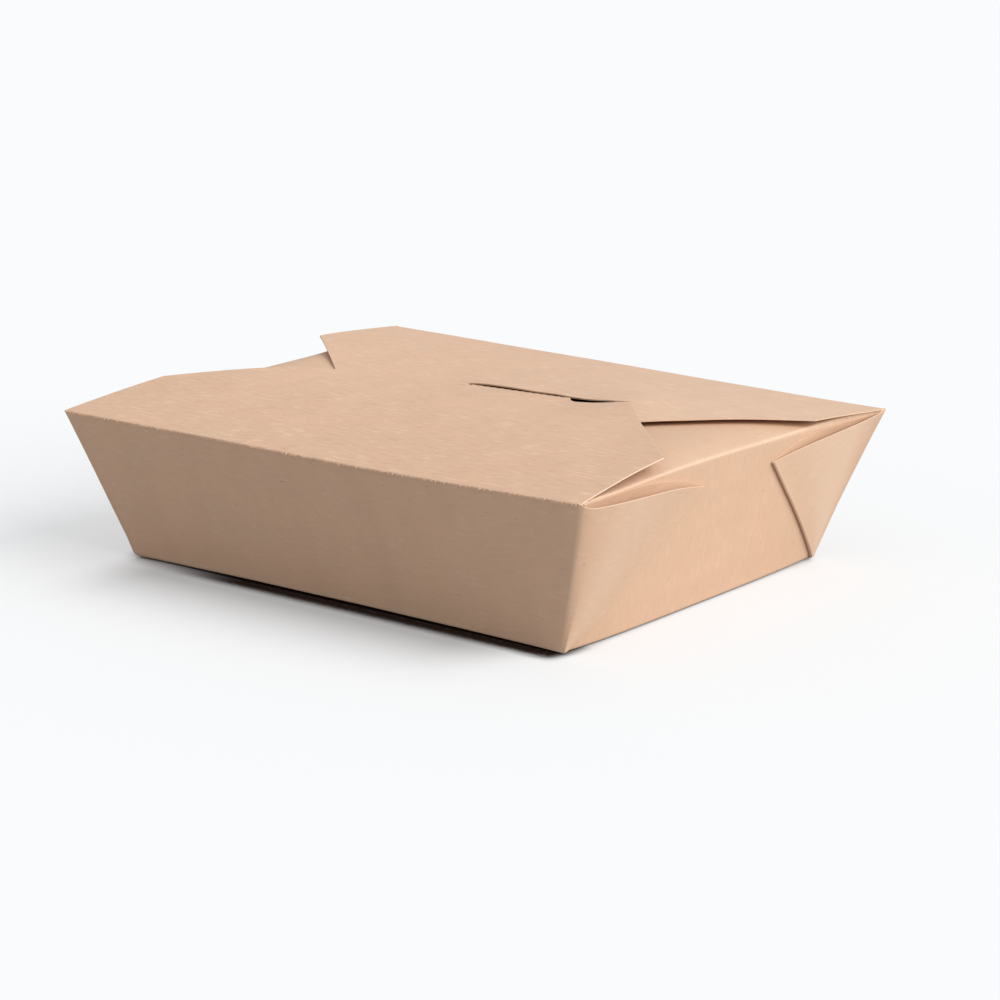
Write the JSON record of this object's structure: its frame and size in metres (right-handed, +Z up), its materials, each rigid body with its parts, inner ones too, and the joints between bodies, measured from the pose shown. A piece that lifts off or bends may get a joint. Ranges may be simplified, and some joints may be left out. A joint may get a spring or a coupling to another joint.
{
  "type": "takeaway box",
  "caption": "Folded kraft-board takeaway box with flared walls, corner gussets and a hinged top flap whose tongue tucks through a slit in the flap below.",
  "frame": {"origin": "centre of the flat underside", "axes": "+X along the box, +Z up, the hinged front flap on the -Y side"},
  "size_m": [0.215, 0.178, 0.0582],
  "materials": {
    "kraft_board": "matt natural kraft board"
  },
  "bodies": {
    "carton": {"carton": "kraft_board"},
    "front_flap": {"front_flap": "kraft_board"}
  },
  "joints": [
    {"name": "front_flap_hinge", "type": "hinge", "parent": "carton", "child": "front_flap", "pos_m": [0, -0.0884, 0.0519], "axis": [1, 0, 0], "range_deg": [0, 175]}
  ]
}
